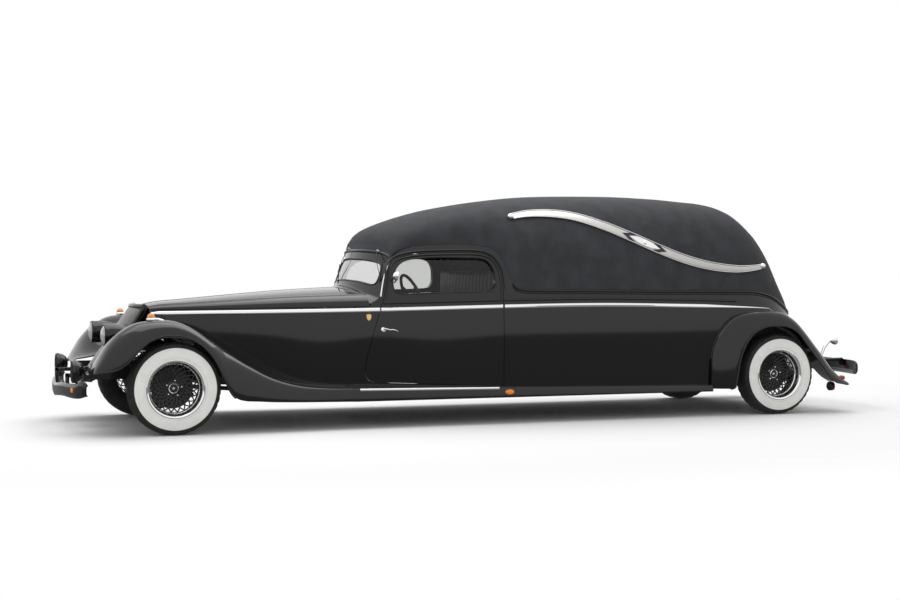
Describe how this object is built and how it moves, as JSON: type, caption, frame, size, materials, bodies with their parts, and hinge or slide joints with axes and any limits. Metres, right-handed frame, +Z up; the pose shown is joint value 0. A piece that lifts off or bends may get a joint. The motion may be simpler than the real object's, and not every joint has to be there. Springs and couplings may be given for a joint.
{
  "type": "hearse",
  "caption": "Long-nosed hearse with separate fenders, a padded roof with landau bars, a hollow cab and load space, and opening doors, hood and rear door.",
  "frame": {"origin": "on the ground under the middle of the car's length and width", "axes": "+X forward, +Y to the car's left, +Z up"},
  "size_m": [7.154, 1.901, 1.909],
  "materials": {
    "paint": "gloss",
    "vinyl": "matte",
    "glass": "clear",
    "chrome": "polished",
    "grille_metal": "satin",
    "frame_steel": "satin",
    "engine_iron": "rough",
    "floor_trim": "matte",
    "dash_trim": "matte",
    "seat_leather": "satin",
    "partition_trim": "matte",
    "deck_wood": "satin",
    "lamp_shell": "gloss",
    "amber_lens": "gloss",
    "red_lens": "gloss",
    "landau_steel": "satin",
    "tyre_rubber": "matte",
    "rim_metal": "polished",
    "wheel_plastic": "satin",
    "axle_steel": "satin",
    "exhaust_steel": "dull",
    "tank_steel": "satin"
  },
  "bodies": {
    "body": {"chassis_frame": "frame_steel", "floor_pan": "floor_trim", "hood_sides": "paint", "body_side_left": "paint", "body_side_right": "paint", "padded_roof": "vinyl", "cowl": "paint", "windscreen": "glass", "grille_shell": "grille_metal", "front_fenders": "paint", "rear_fenders": "paint", "rockers": "paint", "headlamps": "lamp_shell", "front_bumper": "paint", "bumper_lamps": "lamp_shell", "marker_lamps": "amber_lens", "rear_bumper": "paint", "rear_lamps": "red_lens", "landau_bars": "landau_steel", "dashboard": "dash_trim", "front_seat": "seat_leather", "partition": "partition_trim", "load_deck": "deck_wood", "engine": "engine_iron", "front_axle": "axle_steel", "rear_axle": "axle_steel", "exhaust": "exhaust_steel", "fuel_tank": "tank_steel"},
    "hood": {"hood": "paint"},
    "left_door": {"door_left": "paint", "door_glass_left": "glass"},
    "right_door": {"door_right": "paint", "door_glass_right": "glass"},
    "rear_door": {"rear_door": "paint"},
    "steering_wheel": {"steering_wheel": "wheel_plastic"},
    "knuckle_left": {"knuckle_left": "axle_steel"},
    "knuckle_right": {"knuckle_right": "axle_steel"},
    "wheel_front_left": {"tyre_front_left": "tyre_rubber", "rim_front_left": "rim_metal"},
    "wheel_front_right": {"tyre_front_right": "tyre_rubber", "rim_front_right": "rim_metal"},
    "wheel_rear_left": {"tyre_rear_left": "tyre_rubber", "rim_rear_left": "rim_metal"},
    "wheel_rear_right": {"tyre_rear_right": "tyre_rubber", "rim_rear_right": "rim_metal"}
  },
  "joints": [
    {"name": "hood_lift", "type": "hinge", "parent": "body", "child": "hood", "pos_m": [1.187, 0, 1.045], "axis": [0, -1, 0], "range_deg": [0, 45]},
    {"name": "left_door_swing", "type": "hinge", "parent": "body", "child": "left_door", "pos_m": [0.069, 0.831, 0.8], "axis": [0, 0, 1], "range_deg": [0, 70]},
    {"name": "right_door_swing", "type": "hinge", "parent": "body", "child": "right_door", "pos_m": [0.069, -0.831, 0.8], "axis": [0, 0, -1], "range_deg": [0, 70]},
    {"name": "rear_door_lift", "type": "hinge", "parent": "body", "child": "rear_door", "pos_m": [-2.545, 0, 1.604], "axis": [0, 1, 0], "range_deg": [0, 75]},
    {"name": "steering_turn", "type": "hinge", "parent": "body", "child": "steering_wheel", "pos_m": [0.707, 0.37, 1.03], "axis": [-0.9063, 0, 0.4226], "range_deg": [-360, 360]},
    {"name": "left_steer", "type": "hinge", "parent": "body", "child": "knuckle_left", "pos_m": [2.777, 0.718, 0.35], "axis": [0, 0, 1], "range_deg": [-24, 24]},
    {"name": "right_steer", "type": "hinge", "parent": "body", "child": "knuckle_right", "pos_m": [2.777, -0.718, 0.35], "axis": [0, 0, 1], "range_deg": [-24, 24]},
    {"name": "front_left_spin", "type": "hinge", "parent": "knuckle_left", "child": "wheel_front_left", "pos_m": [2.777, 0.82, 0.35], "axis": [0, 1, 0], "continuous": true},
    {"name": "front_right_spin", "type": "hinge", "parent": "knuckle_right", "child": "wheel_front_right", "pos_m": [2.777, -0.82, 0.35], "axis": [0, 1, 0], "continuous": true},
    {"name": "rear_left_spin", "type": "hinge", "parent": "body", "child": "wheel_rear_left", "pos_m": [-2.502, 0.82, 0.35], "axis": [0, 1, 0], "continuous": true},
    {"name": "rear_right_spin", "type": "hinge", "parent": "body", "child": "wheel_rear_right", "pos_m": [-2.502, -0.82, 0.35], "axis": [0, 1, 0], "continuous": true}
  ],
  "couplings": [
    {"joint": "left_steer", "follows": "steering_turn", "ratio": 0.066667},
    {"joint": "right_steer", "follows": "steering_turn", "ratio": 0.066667}
  ]
}
